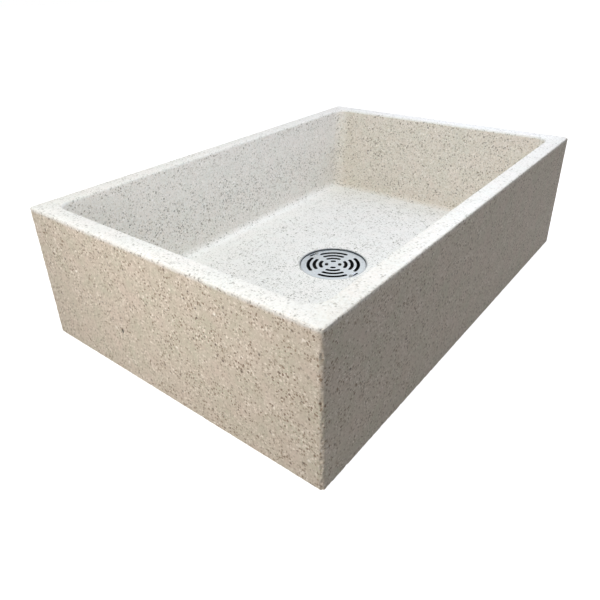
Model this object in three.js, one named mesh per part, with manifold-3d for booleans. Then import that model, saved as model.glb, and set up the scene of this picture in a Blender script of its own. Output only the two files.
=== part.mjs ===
// A precast terrazzo mop service sink: a low open basin with a stainless drain cast into
// the middle of its floor. Millimetres. X runs along the short sides, Y along the long
// sides and Z up. The origin is the centre of the underside.

import * as THREE from 'three';
import { mergeVertices } from 'three/addons/utils/BufferGeometryUtils.js';
import Module from 'manifold-3d';

const wasm = await Module();
wasm.setup();

// ---------------------------------------------------------------- driving dimensions

// Basin casting
const basinWidth = 609.6;
const basinLength = 914.4;
const basinHeight = 250.8;
const rimWidth = 31.75;
const rimOuterEdgeRadius = 2;
const rimInnerEdgeRadius = 3;
const outerCornerRadius = 6;
const footChamfer = 2;
const wellCornerRadius = 28;
const sideWallDraft = 5;
const endWallDraft = 24;
const coveRadius = 18;
const floorCornerRadius = 16;
const floorHeightAtWalls = 46;
const floorHeightAtDrain = 42.4;
const drainLandMargin = 8;
const drainLandCornerRadius = 40;

// Strainer plate
const strainerDiameter = 137;
const strainerThickness = 1.2;
const strainerSink = 3;
const bridgeCount = 4;
const bridgeAngleDeg = -11.7;
const slotWidth = 7.2;
const slotRingPitch = 13;
const firstSlotRingRadius = 14;
const slotRingCount = 4;
const bridgeSpanDeg = 21.5;
const innerBridgeSpanDeg = 42;
const screwSlotRadius = 62.2;
const screwSlotWidth = 4.6;
const screwSlotSpanDeg = 20.5;

// Strainer screws and the lugs they enter
const screwCount = 2;
const screwShankDiameter = 4;
const screwShankLength = 10;
const screwTipChamfer = 0.8;
const screwHeadDiameter = 8;
const screwHeadHeight = 2.2;
const screwHeadEdgeHeight = 0.8;
const screwDriveWidth = 1.2;
const screwDriveDepth = 1.1;
const lugWidth = 14;
const lugThickness = 4;
const lugLength = 10;

// Stainless drain body
const recessGap = 1.2;
const seatWidth = 3.2;
const sheetThickness = 2;
const cupStraightHeight = 4.3;
const collarInnerDiameter = 109;
const collarHeight = 17.7;
const pipeDiameter = 88.9;
const pipeClearance = 3;

// Rubber gasket in the collar
const gasketHeight = 15;
const gasketWebThickness = 7.7;
const gasketRibHeight = 3.2;
const gasketRibCount = 3;

// Anchors on the collar
const anchorCount = 4;
const anchorWidth = 20;
const anchorReach = 95;
const anchorFootHeight = 12;
const anchorArmHeight = 16;
const anchorHookHeight = 12;

// Reinforcing wires
const wireThickness = 4;
const wireSides = 8;
const wireBendRadius = 12;
const wallWireInset = 16;
const endWireInset = 14;
const wireTopCover = 26;
const innerLongWireToHook = 6;
const innerCrossWireToHook = 35;
const outerLongWireInset = 90;
const outerCrossWireInset = 117;
const hoopBelowWireTop = 15;
const hoopSpacing = 80;
const hoopCornerRadius = 20;

// The gap between pieces that touch, and the fineness of round forms
const fitGap = 0.3;
const roundSegments = 48;
const cornerSteps = 6;
const edgeSteps = 3;
const coveSteps = 5;
const slotSteps = 10;
const slotEndSteps = 4;
const screwSegments = 20;
const screwDomeSteps = 4;
const bendSteps = 3;
const cutThrough = 5;

// ---------------------------------------------------------------- derived places

const halfWidth = basinWidth / 2;
const halfLength = basinLength / 2;
const wellHalfWidth = halfWidth - rimWidth;
const wellHalfLength = halfLength - rimWidth;

const strainerRadius = strainerDiameter / 2;
const strainerTop = floorHeightAtDrain - strainerSink;
const strainerBottom = strainerTop - strainerThickness;

const recessRadius = strainerRadius + recessGap;
const flangeRadius = recessRadius + sheetThickness;
const seatInnerRadius = recessRadius - seatWidth;
const seatTop = strainerBottom - fitGap;
const flangeBottom = seatTop - sheetThickness;

const cupTop = flangeBottom - fitGap;
const cupBottom = fitGap;
const cupStraightBottom = cupTop - cupStraightHeight;
const cupMouthOuterRadius = seatInnerRadius + sheetThickness;
const collarInnerRadius = collarInnerDiameter / 2;
const collarOuterRadius = collarInnerRadius + sheetThickness;
const collarTop = cupBottom + collarHeight;
const shoulderTop = cupBottom + sheetThickness;
const shoulderInnerRadius = pipeDiameter / 2 + pipeClearance;

const gasketBottom = shoulderTop + fitGap;
const gasketTop = gasketBottom + gasketHeight;
const gasketOuterRadius = collarInnerRadius - fitGap;
const gasketInnerRadius = gasketOuterRadius - gasketWebThickness;

const bridgeAngle = THREE.MathUtils.degToRad(bridgeAngleDeg);
const bridgeSpan = THREE.MathUtils.degToRad(bridgeSpanDeg);
const innerBridgeSpan = THREE.MathUtils.degToRad(innerBridgeSpanDeg);
const screwSlotSpan = THREE.MathUtils.degToRad(screwSlotSpanDeg);
const screwAngle = bridgeAngle - screwSlotSpan / 2 + screwSlotWidth / 2 / screwSlotRadius;
const lugRadius = seatInnerRadius - fitGap;
const lugOuterReach = Math.sqrt(lugRadius ** 2 - (lugWidth / 2) ** 2);

const anchorArmTop = anchorArmHeight + sheetThickness;
const wireSpacing = wireThickness + fitGap;
const longWireHeight = anchorArmTop + fitGap + wireThickness / 2;
const crossWireHeight = longWireHeight + wireSpacing;
const wireTop = basinHeight - wireTopCover;
const wallWireX = halfWidth - wallWireInset;
const endWireY = halfLength - endWireInset;
const longWireOffsets = [
  anchorReach - sheetThickness - innerLongWireToHook - wireThickness / 2,
  halfWidth - outerLongWireInset,
];
const crossWireOffsets = [anchorReach + innerCrossWireToHook, halfLength - outerCrossWireInset];
const upperHoopHeight = wireTop - hoopBelowWireTop;
const lowerHoopHeight = upperHoopHeight - hoopSpacing;

// ---------------------------------------------------------------- materials

const finishes = {
  terrazzo: { color: 0xd5cdbf, roughness: 0.45, metalness: 0 },
  stainless: { color: 0xc9ced4, roughness: 0.3, metalness: 1 },
  galvanised: { color: 0x9fa5a8, roughness: 0.55, metalness: 1 },
  rubber: { color: 0x202022, roughness: 0.85, metalness: 0 },
};

// ---------------------------------------------------------------- solids

function toSolid(geometry) {
  const bare = geometry.index ? geometry.clone() : geometry;
  bare.deleteAttribute('normal');
  bare.deleteAttribute('uv');
  const merged = mergeVertices(bare, 1e-4);
  return new wasm.Manifold(new wasm.Mesh({
    numProp: 3,
    vertProperties: new Float32Array(merged.attributes.position.array),
    triVerts: new Uint32Array(merged.index.array),
  }));
}

function toGeometry(solid) {
  const mesh = solid.getMesh();
  const geometry = new THREE.BufferGeometry();
  geometry.setAttribute('position', new THREE.BufferAttribute(new Float32Array(mesh.vertProperties), 3));
  geometry.setIndex(new THREE.BufferAttribute(new Uint32Array(mesh.triVerts), 1));
  return geometry;
}

// Joins outlines of equal point count into one closed skin. A loop has no end caps.
function loft(outlines, closed = false) {
  const count = outlines[0].length;
  const index = [];
  const bands = closed ? outlines.length : outlines.length - 1;
  for (let band = 0; band < bands; band += 1) {
    const lower = band * count;
    const upper = ((band + 1) % outlines.length) * count;
    for (let i = 0; i < count; i += 1) {
      const next = (i + 1) % count;
      index.push(lower + i, lower + next, upper + next);
      index.push(lower + i, upper + next, upper + i);
    }
  }
  if (!closed) {
    const last = (outlines.length - 1) * count;
    for (let i = 1; i < count - 1; i += 1) {
      index.push(0, i + 1, i);
      index.push(last, last + i, last + i + 1);
    }
  }
  const geometry = new THREE.BufferGeometry();
  geometry.setFromPoints(outlines.flat());
  geometry.setIndex(index);
  return geometry;
}

// A level rectangle with rounded corners, counter-clockwise seen from above.
function roundedRectangle(halfX, halfY, radius, z) {
  const points = [];
  [[1, 1], [-1, 1], [-1, -1], [1, -1]].forEach(([signX, signY], corner) => {
    for (let step = 0; step <= cornerSteps; step += 1) {
      const angle = (corner + step / cornerSteps) * Math.PI / 2;
      const x = signX * (halfX - radius) + radius * Math.cos(angle);
      const y = signY * (halfY - radius) + radius * Math.sin(angle);
      points.push(new THREE.Vector3(x, y, z));
    }
  });
  return points;
}

function polar(radius, angle) {
  return new THREE.Vector2(radius * Math.cos(angle), radius * Math.sin(angle));
}

// A round piece turned about Z from a closed profile of [radius, height] pairs.
function turned(profile, segments = roundSegments) {
  const points = profile.map(([radius, height]) => new THREE.Vector2(radius, height));
  const onAxis = profile[0][0] === 0 && profile[profile.length - 1][0] === 0;
  if (!onAxis) points.push(points[0].clone());
  const geometry = new THREE.LatheGeometry(points, segments);
  geometry.rotateX(Math.PI / 2);
  return toSolid(geometry);
}

// A wire of flat-sided round section along a path that lies in one plane.
function bentWire(path, planeNormal, thickness, closed = false) {
  const sectionRadius = thickness / 2 / Math.cos(Math.PI / wireSides);
  const count = path.length;
  const outlines = path.map((point, i) => {
    const isEnd = !closed && (i === 0 || i === count - 1);
    const from = path[(i + count - 1) % count];
    const to = path[(i + 1) % count];
    const before = point.clone().sub(from).normalize();
    const after = to.clone().sub(point).normalize();
    if (isEnd && i === 0) before.copy(after);
    if (isEnd && i > 0) after.copy(before);
    const sideBefore = before.cross(planeNormal);
    const sideAfter = after.cross(planeNormal);
    const mitre = sideBefore.clone().add(sideAfter).divideScalar(1 + sideBefore.dot(sideAfter));
    const outline = [];
    for (let k = 0; k < wireSides; k += 1) {
      const angle = (k + 0.5) * 2 * Math.PI / wireSides;
      const along = planeNormal.clone().multiplyScalar(sectionRadius * Math.cos(angle));
      outline.push(point.clone().add(along).addScaledVector(mitre, sectionRadius * Math.sin(angle)));
    }
    return outline;
  });
  return loft(outlines, closed);
}

// ---------------------------------------------------------------- assembly

const sink = new THREE.Group();

// Places a piece in the scene graph. Its cutter, where it is cast in, is placed the same way.
function addPiece(name, geometry, finish, position = [0, 0, 0], angle = 0, parent = sink) {
  const mesh = new THREE.Mesh(geometry, new THREE.MeshStandardMaterial(finishes[finish]));
  mesh.name = name;
  mesh.position.set(...position);
  mesh.rotation.z = angle;
  parent.add(mesh);
  return mesh;
}

function castIn(geometry, position, angle) {
  const cutter = geometry.clone();
  cutter.rotateZ(angle);
  cutter.translate(...position);
  return toSolid(cutter);
}

const castInCutters = [];

// Drain flange: a spun ring with an upright lip and a level seat for the strainer.
const flangeProfile = [
  [seatInnerRadius, flangeBottom],
  [flangeRadius, flangeBottom],
  [flangeRadius, floorHeightAtDrain],
  [recessRadius, floorHeightAtDrain],
  [recessRadius, seatTop],
  [seatInnerRadius, seatTop],
];
addPiece('drain_flange', toGeometry(turned(flangeProfile)), 'stainless');

// Drain cup: straight mouth, cone, outlet collar and the shoulder under the gasket.
const cupProfile = [
  [shoulderInnerRadius, cupBottom],
  [collarOuterRadius, cupBottom],
  [collarOuterRadius, collarTop],
  [cupMouthOuterRadius, cupStraightBottom],
  [cupMouthOuterRadius, cupTop],
  [seatInnerRadius, cupTop],
  [seatInnerRadius, cupStraightBottom],
  [collarInnerRadius, collarTop],
  [collarInnerRadius, shoulderTop],
  [shoulderInnerRadius, shoulderTop],
];
addPiece('drain_cup', toGeometry(turned(cupProfile)), 'stainless');

// The casting's hole follows the outside of the cup and the flange.
const drainHoleProfile = [
  [0, -cutThrough],
  [collarOuterRadius + fitGap, -cutThrough],
  [collarOuterRadius + fitGap, collarTop],
  [cupMouthOuterRadius + fitGap, cupStraightBottom],
  [cupMouthOuterRadius + fitGap, flangeBottom - fitGap],
  [flangeRadius + fitGap, flangeBottom - fitGap],
  [flangeRadius + fitGap, floorHeightAtDrain + cutThrough],
  [0, floorHeightAtDrain + cutThrough],
];
castInCutters.push(turned(drainHoleProfile));

// Pipe gasket: a plain outside against the collar and sealing ribs on the pipe side.
function gasketProfile() {
  const profile = [
    [gasketInnerRadius, gasketBottom],
    [gasketOuterRadius, gasketBottom],
    [gasketOuterRadius, gasketTop],
    [gasketInnerRadius, gasketTop],
  ];
  const ribPitch = gasketHeight / gasketRibCount;
  for (let rib = 0; rib < gasketRibCount; rib += 1) {
    const ribTop = gasketTop - rib * ribPitch;
    profile.push([gasketInnerRadius - gasketRibHeight, ribTop - ribPitch / 2]);
    if (rib < gasketRibCount - 1) profile.push([gasketInnerRadius, ribTop - ribPitch]);
  }
  return profile;
}
addPiece('pipe_gasket', toGeometry(turned(gasketProfile())), 'rubber');

// Screw lugs: tapped tabs on the inner edge of the seat, in line with the screws.
function lugSolid() {
  const tab = new THREE.BoxGeometry(lugLength, lugWidth, lugThickness);
  tab.translate(lugOuterReach - lugLength / 2, 0, seatTop - lugThickness / 2);
  const holeRadius = screwShankDiameter / 2 + fitGap;
  const holeDepth = lugThickness + cutThrough;
  const hole = new THREE.CylinderGeometry(holeRadius, holeRadius, holeDepth, screwSegments);
  hole.rotateX(Math.PI / 2);
  hole.translate(screwSlotRadius, 0, seatTop - lugThickness / 2);
  return toSolid(tab).subtract(toSolid(hole));
}

// Strainer screw: a low domed head with a straight drive slot, and a plain shank.
function screwSolid() {
  const headRadius = screwHeadDiameter / 2;
  const shankRadius = screwShankDiameter / 2;
  const shankEnd = -fitGap - screwShankLength;
  const domeHeight = screwHeadHeight - screwHeadEdgeHeight;
  const profile = [
    [0, shankEnd],
    [shankRadius - screwTipChamfer, shankEnd],
    [shankRadius, shankEnd + screwTipChamfer],
    [shankRadius, 0],
    [headRadius, 0],
  ];
  for (let step = 0; step < screwDomeSteps; step += 1) {
    const angle = step / screwDomeSteps * Math.PI / 2;
    profile.push([headRadius * Math.cos(angle), screwHeadEdgeHeight + domeHeight * Math.sin(angle)]);
  }
  profile.push([0, screwHeadHeight]);
  const drive = new THREE.BoxGeometry(screwHeadDiameter + cutThrough, screwDriveWidth, 2 * screwDriveDepth);
  drive.translate(0, 0, screwHeadHeight);
  return turned(profile, screwSegments).subtract(toSolid(drive));
}

const lugGeometry = toGeometry(lugSolid());
const screwGeometry = toGeometry(screwSolid());
for (let i = 0; i < screwCount; i += 1) {
  const angle = screwAngle + i * 2 * Math.PI / screwCount;
  const centre = polar(screwSlotRadius, angle);
  const place = [centre.x, centre.y, strainerTop + fitGap];
  addPiece(`screw_lug_${i + 1}`, lugGeometry, 'stainless', [0, 0, 0], angle);
  addPiece(`strainer_screw_${i + 1}`, screwGeometry, 'stainless', place, angle);
}

// Strainer: a flat plate with rings of curved slots between four plain bridges.
function arcSlot(radius, width, middleAngle, spanAngle) {
  const half = spanAngle / 2 - width / 2 / radius;
  const start = middleAngle - half;
  const end = middleAngle + half;
  const points = [];
  const sweep = (centre, arcRadius, from, to, steps) => {
    for (let step = 0; step < steps; step += 1) {
      const angle = from + (to - from) * step / steps;
      points.push(polar(arcRadius, angle).add(centre));
    }
  };
  sweep(polar(0, 0), radius + width / 2, start, end, slotSteps);
  sweep(polar(radius, end), width / 2, end, end + Math.PI, slotEndSteps);
  sweep(polar(0, 0), radius - width / 2, end, start, slotSteps);
  sweep(polar(radius, start), width / 2, start + Math.PI, start + 2 * Math.PI, slotEndSteps);
  return new THREE.Path(points);
}

function strainerGeometry() {
  const outline = new THREE.Shape();
  outline.absarc(0, 0, strainerRadius, 0, 2 * Math.PI, false);
  const slotStep = 2 * Math.PI / bridgeCount;
  for (let ring = 0; ring < slotRingCount; ring += 1) {
    const radius = firstSlotRingRadius + ring * slotRingPitch;
    const span = slotStep - (ring === 0 ? innerBridgeSpan : bridgeSpan);
    for (let slot = 0; slot < bridgeCount; slot += 1) {
      const middle = bridgeAngle + slotStep / 2 + slot * slotStep;
      outline.holes.push(arcSlot(radius, slotWidth, middle, span));
    }
  }
  for (let i = 0; i < screwCount; i += 1) {
    const middle = bridgeAngle + i * 2 * Math.PI / screwCount;
    outline.holes.push(arcSlot(screwSlotRadius, screwSlotWidth, middle, screwSlotSpan));
  }
  return new THREE.ExtrudeGeometry(outline, {
    depth: strainerThickness,
    bevelEnabled: false,
    curveSegments: roundSegments,
  });
}
addPiece('strainer', toGeometry(toSolid(strainerGeometry())), 'stainless', [0, 0, strainerBottom]);

// Anchors: a bent strap with a foot on the collar, an arm and an upturned end.
function anchorSolid(grow) {
  const bar = (fromX, toX, fromZ, toZ) => {
    const lengthX = toX - fromX + 2 * grow;
    const lengthZ = toZ - fromZ + 2 * grow;
    const box = new THREE.BoxGeometry(lengthX, anchorWidth + 2 * grow, lengthZ);
    box.translate((fromX + toX) / 2, 0, (fromZ + toZ) / 2);
    return toSolid(box);
  };
  const footX = collarOuterRadius + fitGap;
  const hookX = anchorReach - sheetThickness;
  const foot = bar(footX, footX + sheetThickness, anchorArmTop - anchorFootHeight, anchorArmTop);
  const arm = bar(footX, anchorReach, anchorArmHeight, anchorArmTop);
  const hook = bar(hookX, anchorReach, anchorArmHeight, anchorArmHeight + anchorHookHeight);
  return foot.add(arm).add(hook);
}

const anchorGeometry = toGeometry(anchorSolid(0));
const anchorPocket = toGeometry(anchorSolid(fitGap));
for (let i = 0; i < anchorCount; i += 1) {
  const angle = i * 2 * Math.PI / anchorCount;
  addPiece(`anchor_${i + 1}`, anchorGeometry, 'stainless', [0, 0, 0], angle);
  castInCutters.push(castIn(anchorPocket, [0, 0, 0], angle));
}

// Reinforcing wires: U-shaped, lying in the floor with both legs up in the walls.
function wirePath(legPlace, floorPlace, grow) {
  const path = [];
  const bend = (centreX, from, to) => {
    for (let step = 0; step <= bendSteps; step += 1) {
      const angle = from + (to - from) * step / bendSteps;
      const x = centreX + wireBendRadius * Math.cos(angle);
      const z = floorPlace + wireBendRadius + wireBendRadius * Math.sin(angle);
      path.push(new THREE.Vector3(x, 0, z));
    }
  };
  path.push(new THREE.Vector3(-legPlace, 0, wireTop + grow));
  bend(-legPlace + wireBendRadius, -Math.PI, -Math.PI / 2);
  bend(legPlace - wireBendRadius, -Math.PI / 2, 0);
  path.push(new THREE.Vector3(legPlace, 0, wireTop + grow));
  return path;
}

function addUWires(name, offsets, legPlace, floorPlace, isLong) {
  const across = new THREE.Vector3(0, 1, 0);
  const angle = isLong ? Math.PI / 2 : 0;
  const wire = bentWire(wirePath(legPlace, floorPlace, 0), across, wireThickness);
  const channel = bentWire(wirePath(legPlace, floorPlace, fitGap), across, wireThickness + 2 * fitGap);
  const places = [...offsets.map((offset) => -offset).reverse(), ...offsets];
  places.forEach((place, i) => {
    const position = isLong ? [place, 0, 0] : [0, place, 0];
    addPiece(`${name}_${i + 1}`, wire, 'galvanised', position, angle);
    castInCutters.push(castIn(channel, position, angle));
  });
}
addUWires('long_wire', longWireOffsets, endWireY, longWireHeight, true);
addUWires('cross_wire', crossWireOffsets, wallWireX, crossWireHeight, false);

// Hoops: closed wires round the walls, inside the legs of the U-shaped wires.
function addHoop(name, height) {
  const up = new THREE.Vector3(0, 0, 1);
  const path = roundedRectangle(wallWireX - wireSpacing, endWireY - wireSpacing, hoopCornerRadius, 0);
  const channel = bentWire(path, up, wireThickness + 2 * fitGap, true);
  addPiece(name, bentWire(path, up, wireThickness, true), 'galvanised', [0, 0, height]);
  castInCutters.push(castIn(channel, [0, 0, height], 0));
}
addHoop('wall_hoop_lower', lowerHoopHeight);
addHoop('wall_hoop_upper', upperHoopHeight);

// Basin: the outer block, less the well, the drain's hole and what is cast in.
function basinBlock() {
  const outlines = [
    roundedRectangle(halfWidth - footChamfer, halfLength - footChamfer, outerCornerRadius, 0),
    roundedRectangle(halfWidth, halfLength, outerCornerRadius, footChamfer),
  ];
  for (let step = 0; step <= edgeSteps; step += 1) {
    const angle = step / edgeSteps * Math.PI / 2;
    const inset = rimOuterEdgeRadius * (1 - Math.cos(angle));
    const height = basinHeight - rimOuterEdgeRadius * (1 - Math.sin(angle));
    outlines.push(roundedRectangle(halfWidth - inset, halfLength - inset, outerCornerRadius, height));
  }
  return toSolid(loft(outlines));
}

function wellBlock() {
  const landHalf = flangeRadius + drainLandMargin;
  const outlines = [roundedRectangle(landHalf, landHalf, drainLandCornerRadius, floorHeightAtDrain)];
  const footHalfWidth = wellHalfWidth - sideWallDraft;
  const footHalfLength = wellHalfLength - endWallDraft;
  for (let step = coveSteps; step >= 0; step -= 1) {
    const angle = step / coveSteps * Math.PI / 2;
    const inset = coveRadius * (1 - Math.cos(angle));
    const height = floorHeightAtWalls + coveRadius * (1 - Math.sin(angle));
    const cornerRadius = wellCornerRadius + (floorCornerRadius - wellCornerRadius) * inset / coveRadius;
    outlines.push(roundedRectangle(footHalfWidth - inset, footHalfLength - inset, cornerRadius, height));
  }
  for (let step = 0; step <= edgeSteps; step += 1) {
    const angle = step / edgeSteps * Math.PI / 2;
    const flare = rimInnerEdgeRadius * (1 - Math.cos(angle));
    const height = basinHeight - rimInnerEdgeRadius * (1 - Math.sin(angle));
    const cornerRadius = wellCornerRadius + flare;
    outlines.push(roundedRectangle(wellHalfWidth + flare, wellHalfLength + flare, cornerRadius, height));
  }
  const mouthHalfWidth = wellHalfWidth + rimInnerEdgeRadius;
  const mouthHalfLength = wellHalfLength + rimInnerEdgeRadius;
  const mouthCornerRadius = wellCornerRadius + rimInnerEdgeRadius;
  const aboveRim = basinHeight + cutThrough;
  outlines.push(roundedRectangle(mouthHalfWidth, mouthHalfLength, mouthCornerRadius, aboveRim));
  return toSolid(loft(outlines));
}

const basinSolid = castInCutters.reduce(
  (solid, cutter) => solid.subtract(cutter),
  basinBlock().subtract(wellBlock()),
);
addPiece('basin', toGeometry(basinSolid), 'terrazzo');

export default sink;
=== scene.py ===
# A mop service sink: a low basin of precast terrazzo with a stainless drain cast into its
# floor. Metres. X runs along the short sides, Y along the long sides and Z up from the
# surface that the basin rests on. The sections follow the way the sink is put together.

import math

import bmesh
import bpy
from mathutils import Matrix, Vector, noise


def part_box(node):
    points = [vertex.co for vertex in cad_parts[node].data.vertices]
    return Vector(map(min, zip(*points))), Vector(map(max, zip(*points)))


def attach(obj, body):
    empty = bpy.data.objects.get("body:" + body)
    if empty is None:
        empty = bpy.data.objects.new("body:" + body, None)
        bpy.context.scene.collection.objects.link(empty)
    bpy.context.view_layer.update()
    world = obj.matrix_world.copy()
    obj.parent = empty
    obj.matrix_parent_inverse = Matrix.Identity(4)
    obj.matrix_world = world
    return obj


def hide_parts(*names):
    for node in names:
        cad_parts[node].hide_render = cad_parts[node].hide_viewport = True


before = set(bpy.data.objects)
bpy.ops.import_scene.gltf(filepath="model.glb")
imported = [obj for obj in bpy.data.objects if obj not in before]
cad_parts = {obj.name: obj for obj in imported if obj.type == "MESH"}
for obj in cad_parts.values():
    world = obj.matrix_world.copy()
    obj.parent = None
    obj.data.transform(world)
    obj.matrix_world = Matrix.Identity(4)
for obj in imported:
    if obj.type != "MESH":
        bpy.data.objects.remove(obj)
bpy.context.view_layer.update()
mm = 0.001


# ---------------------------------------------------------------- drain cup
# The drain starts with a cup of 2 mm stainless sheet, spun over a form: a straight mouth, a
# cone and a collar round the pipe, with a shoulder at its foot that holds the gasket. The cup
# is painted near black, darker towards its foot, as a painted shade for the inside of the drain
# under the strainer.

cup_low, cup_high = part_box("drain_cup")
sheet = 2 * mm
cup_mouth_radius = cup_high.x
collar_radius = 56.5 * mm
collar_top = 18 * mm
cup_straight = 4.3 * mm
shoulder_bore_radius = 47.45 * mm
cup_edge_radius = 0.6 * mm
spun_line_spacing = 0.8 * mm
spun_line_depth = 0.02 * mm
spun_smear_size = 17 * mm
spun_segments = 144
rounding_steps = 3
rounding_share = 0.4
shading_angle = math.radians(35)


def linear(hex_colour):
    """An sRGB colour such as '#c8ced4' as linear red, green, blue and alpha."""
    parts = [int(hex_colour[i:i + 2], 16) / 255 for i in (1, 3, 5)]
    return [c / 12.92 if c <= 0.04045 else ((c + 0.055) / 1.055) ** 2.4 for c in parts] + [1]


def add_node(tree, kind, inputs, **settings):
    """Adds a node, sets its properties, and sets or links each of its named inputs."""
    node = tree.nodes.new(kind)
    for name, value in settings.items():
        setattr(node, name, value)
    for name, value in inputs.items():
        if isinstance(value, bpy.types.NodeSocket):
            tree.links.new(value, node.inputs[name])
        else:
            node.inputs[name].default_value = value
    return node


def new_material(name):
    """An empty node material and its tree, ready for a shader."""
    material = bpy.data.materials.new(name)
    material.use_nodes = True
    material.node_tree.nodes.clear()
    return material, material.node_tree


def new_piece(name, mesh, material, body, node):
    """Puts a finished mesh in the scene for the CAD node that it stands for."""
    piece = bpy.data.objects.new(name, mesh)
    bpy.context.scene.collection.objects.link(piece)
    mesh.materials.append(material)
    mesh.shade_smooth()
    mesh.set_sharp_from_angle(angle=shading_angle)
    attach(piece, body)
    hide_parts(node)


def skin(name, rings):
    """A mesh over rings of equal point count, with the last ring joined to the first."""
    count = len(rings[0])
    faces = []
    for band in range(len(rings)):
        low = band * count
        high = (band + 1) % len(rings) * count
        for i in range(count):
            j = (i + 1) % count
            faces.append((low + i, low + j, high + j, high + i))
    mesh = bpy.data.meshes.new(name)
    mesh.from_pydata([tuple(point) for ring in rings for point in ring], [], faces)
    return mesh


def softened(profile, radius):
    """A closed outline of (radius, height) points with its corners rounded, each by no more
    than a share of the sides that it joins."""
    points = []
    for i, corner in enumerate(profile):
        here = Vector(corner)
        before = Vector(profile[i - 1])
        after = Vector(profile[(i + 1) % len(profile)])
        shorter_side = min((before - here).length, (after - here).length)
        reach = min(radius, shorter_side * rounding_share)
        start = here + (before - here).normalized() * reach
        end = here + (after - here).normalized() * reach
        for step in range(rounding_steps + 1):
            t = step / rounding_steps
            points.append(start * (1 - t) ** 2 + here * 2 * t * (1 - t) + end * t ** 2)
    return points


def turned(name, profile, edge_radius, segments=spun_segments):
    """A round piece turned about Z from a closed outline that runs anticlockwise."""
    rings = []
    for radius, height in softened(profile, edge_radius):
        ring = []
        for i in range(segments):
            angle = 2 * math.pi * i / segments
            ring.append((radius * math.cos(angle), radius * math.sin(angle), height))
        rings.append(ring)
    return skin(name, rings)


def round_stainless(name, colours, heights, roughness):
    """Stainless lined round its axis. It goes from one colour to another between two heights,
    and from one roughness to another in smears."""
    material, tree = new_material(name)
    foot_colour, top_colour = [linear(colour) for colour in colours]
    place = add_node(tree, "ShaderNodeTexCoord", {})
    axes = add_node(tree, "ShaderNodeSeparateXYZ", {0: place.outputs["Object"]})
    flat = add_node(
        tree, "ShaderNodeCombineXYZ", {"X": axes.outputs["X"], "Y": axes.outputs["Y"]},
    )
    radius = add_node(tree, "ShaderNodeVectorMath", {0: flat.outputs[0]}, operation="LENGTH")
    across = add_node(
        tree, "ShaderNodeMath", {0: radius.outputs["Value"], 1: axes.outputs["Z"]}, operation="ADD",
    )
    lines = add_node(
        tree, "ShaderNodeTexNoise",
        {"W": across.outputs[0], "Scale": 1 / spun_line_spacing, "Detail": 2},
        noise_dimensions="1D",
    )
    smears = add_node(
        tree, "ShaderNodeTexNoise",
        {"Vector": place.outputs["Object"], "Scale": 1 / spun_smear_size},
    )
    sheen = add_node(
        tree, "ShaderNodeMapRange",
        {"Value": smears.outputs["Fac"], "From Min": 0.3, "From Max": 0.7,
         "To Min": roughness[0], "To Max": roughness[1]},
    )
    grooves = add_node(
        tree, "ShaderNodeBump",
        {"Height": lines.outputs["Fac"], "Strength": 0.4, "Distance": spun_line_depth},
    )
    rise = add_node(
        tree, "ShaderNodeMapRange",
        {"Value": axes.outputs["Z"], "From Min": heights[0], "From Max": heights[1]},
    )
    tone = add_node(
        tree, "ShaderNodeMix", {0: rise.outputs["Result"], 6: foot_colour, 7: top_colour},
        data_type="RGBA",
    )
    metal = add_node(
        tree, "ShaderNodeBsdfPrincipled",
        {"Base Color": tone.outputs[2], "Metallic": 1, "Roughness": sheen.outputs["Result"],
         "Normal": grooves.outputs["Normal"]},
    )
    add_node(tree, "ShaderNodeOutputMaterial", {"Surface": metal.outputs["BSDF"]})
    return material


# Spun stainless, dull and faintly lined round its axis, and painted near black and darker
# towards its foot: a painted shade for the inside of the drain, so that the strainer's slots
# read as black. The lines are drawn at 0.8 mm, coarser than they are, so that they show.
scaled_stainless = round_stainless(
    "spun_stainless_painted_shade", ("#2c2d2e", "#3a3b3d"), (cup_low.z, cup_high.z), (0.5, 0.62),
)

cup_profile = [
    (shoulder_bore_radius, cup_low.z),
    (collar_radius, cup_low.z),
    (collar_radius, collar_top),
    (cup_mouth_radius, cup_high.z - cup_straight),
    (cup_mouth_radius, cup_high.z),
    (cup_mouth_radius - sheet, cup_high.z),
    (cup_mouth_radius - sheet, cup_high.z - cup_straight),
    (collar_radius - sheet, collar_top),
    (collar_radius - sheet, cup_low.z + sheet),
    (shoulder_bore_radius, cup_low.z + sheet),
]
new_piece(
    "spun_drain_cup", turned("spun_drain_cup", cup_profile, cup_edge_radius),
    scaled_stainless, "basin", "drain_cup",
)


# ---------------------------------------------------------------- drain flange
# The flange is the ring that shows round the strainer, a thin bright line in the floor. It is
# turned stainless: a level seat for the plate and an upright lip, ground flush with the floor.

flange_low, flange_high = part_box("drain_flange")
flange_radius = flange_high.x
recess_radius = flange_radius - sheet
seat_bore_radius = cup_mouth_radius - sheet
flange_edge_radius = 0.4 * mm
grime_top = 1.2 * mm

# Turned stainless: a pale metal with a dull shine, faintly lined by the lathe. Below the lip's
# top the recess is painted dark, a painted shade that makes the dark line round the strainer.
turned_stainless = round_stainless(
    "turned_stainless", ("#63676a", "#c3c8cb"), (flange_high.z - grime_top, flange_high.z),
    (0.3, 0.42),
)

flange_profile = [
    (seat_bore_radius, flange_low.z),
    (flange_radius, flange_low.z),
    (flange_radius, flange_high.z),
    (recess_radius, flange_high.z),
    (recess_radius, flange_low.z + sheet),
    (seat_bore_radius, flange_low.z + sheet),
]
new_piece(
    "turned_drain_flange", turned("turned_drain_flange", flange_profile, flange_edge_radius),
    turned_stainless, "basin", "drain_flange",
)


# ---------------------------------------------------------------- screw lugs and anchors
# Two tapped lugs are welded to the seat's inner edge for the strainer screws, and four bent
# straps on the collar hold the drain in the casting. Both are sheared from stainless plate.

plate_edge_break = 0.35 * mm
sheared_edge_angle = math.radians(50)
pickle_mottle_size = 2.5 * mm

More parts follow.
